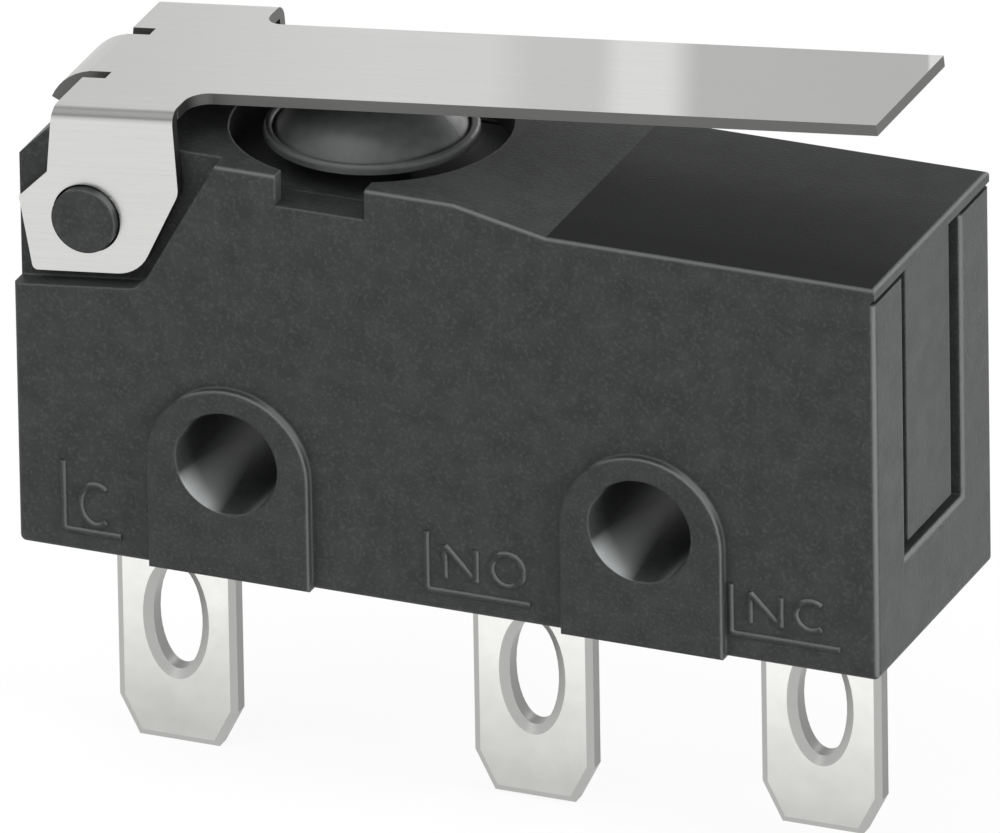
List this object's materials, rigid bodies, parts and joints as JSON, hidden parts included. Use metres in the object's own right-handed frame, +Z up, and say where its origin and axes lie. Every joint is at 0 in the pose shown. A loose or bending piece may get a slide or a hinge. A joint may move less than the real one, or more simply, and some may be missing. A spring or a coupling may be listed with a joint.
{
  "type": "micro switch with hinge lever",
  "caption": "Subminiature snap-action micro switch: black moulded case with mounting bores, folded hinge lever over a domed plunger, and solder terminals below.",
  "frame": {"origin": "on the axis of the left mounting hole (the hinge end), halfway through the depth of the case", "axes": "+X along the case towards the lever's free tip, +Y through the case along the mounting holes, +Z up from the terminals to the plunger"},
  "size_m": [0.0197, 0.0068, 0.018],
  "materials": {
    "case_plastic": "fine spark-eroded texture, glass-filled polyester, black",
    "plunger_plastic": "polished black thermoplastic",
    "lever_steel": "cold-rolled stainless strip, satin",
    "terminal_plating": "silver-plated brass, stamped and coined",
    "spring_alloy": "beryllium copper strip",
    "contact_silver": "silver alloy, burnished"
  },
  "bodies": {
    "housing": {"case": "case_plastic", "cover": "case_plastic", "common_terminal": "terminal_plating", "normally_open_terminal": "terminal_plating", "normally_closed_terminal": "terminal_plating", "normally_open_contact": "contact_silver", "normally_closed_contact": "contact_silver"},
    "lever": {"hinge_lever": "lever_steel"},
    "button": {"plunger": "plunger_plastic"},
    "blade": {"movable_spring": "spring_alloy", "movable_contact": "contact_silver"}
  },
  "joints": [
    {"name": "lever_pivot", "type": "hinge", "parent": "housing", "child": "lever", "pos_m": [-0.00329, 0, 0.00506], "axis": [0, 1, 0], "range_deg": [0, 5.4], "stiffness_Nm_per_rad": 0.002, "springref_deg": -57.3},
    {"name": "plunger_travel", "type": "slide", "parent": "housing", "child": "button", "axis": [0, 0, -1], "range_m": [0, 0.0005123]},
    {"name": "blade_rocker", "type": "hinge", "parent": "housing", "child": "blade", "pos_m": [-0.0022, 0, 0.00379], "axis": [0, 1, 0], "range_deg": [0, 2.18]}
  ],
  "couplings": [
    {"joint": "plunger_travel", "follows": "lever_pivot", "m_per_rad": 0.00533},
    {"joint": "blade_rocker", "follows": "lever_pivot", "ratio": 0.4}
  ]
}
